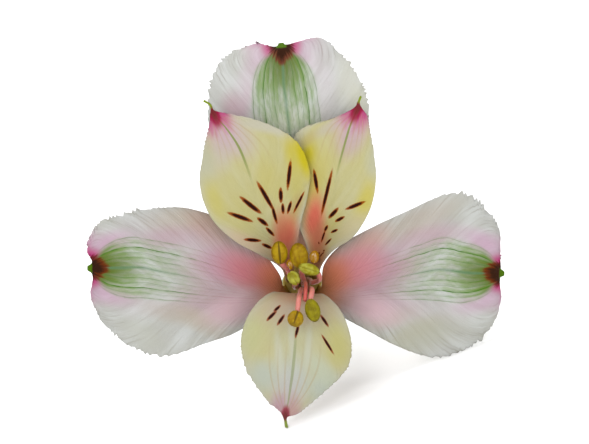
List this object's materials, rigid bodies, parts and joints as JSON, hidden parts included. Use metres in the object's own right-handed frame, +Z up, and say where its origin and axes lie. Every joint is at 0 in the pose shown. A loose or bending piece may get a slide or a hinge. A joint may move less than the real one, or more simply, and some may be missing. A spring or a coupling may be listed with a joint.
{
  "type": "alstroemeria flower",
  "caption": "Open cut alstroemeria flower on its own short green stalk, lying down, with green-tipped white outer tepals and streaked yellow inner tepals.",
  "frame": {"origin": "on the surface that the flower lies on, under the middle of its bounding box", "axes": "+Z up from the surface; the face looks towards -Y and a little up, and the stalk runs back towards +Y"},
  "size_m": [0.0784, 0.1238, 0.0699],
  "materials": {
    "outer_tepal": "white petal skin with green veins, soft satin",
    "inner_tepal": "cream and yellow petal skin with dark streaks, soft satin",
    "filament": "smooth pink stamen stalk, satin",
    "anther": "matt ochre pollen",
    "style": "smooth red, satin",
    "stalk": "smooth green skin, satin"
  },
  "bodies": {
    "root": {"outer_tepal_top": "outer_tepal", "outer_tepal_left": "outer_tepal", "outer_tepal_right": "outer_tepal", "inner_tepal_left": "inner_tepal", "inner_tepal_right": "inner_tepal", "inner_tepal_lower": "inner_tepal", "filament_upper": "filament", "filament_upper_left": "filament", "filament_upper_right": "filament", "filament_lower": "filament", "filament_lower_left": "filament", "filament_lower_right": "filament", "anther_upper": "anther", "anther_upper_left": "anther", "anther_upper_right": "anther", "anther_lower": "anther", "anther_lower_left": "anther", "anther_lower_right": "anther", "style": "style", "ovary": "stalk", "stalk": "stalk"}
  },
  "joints": []
}
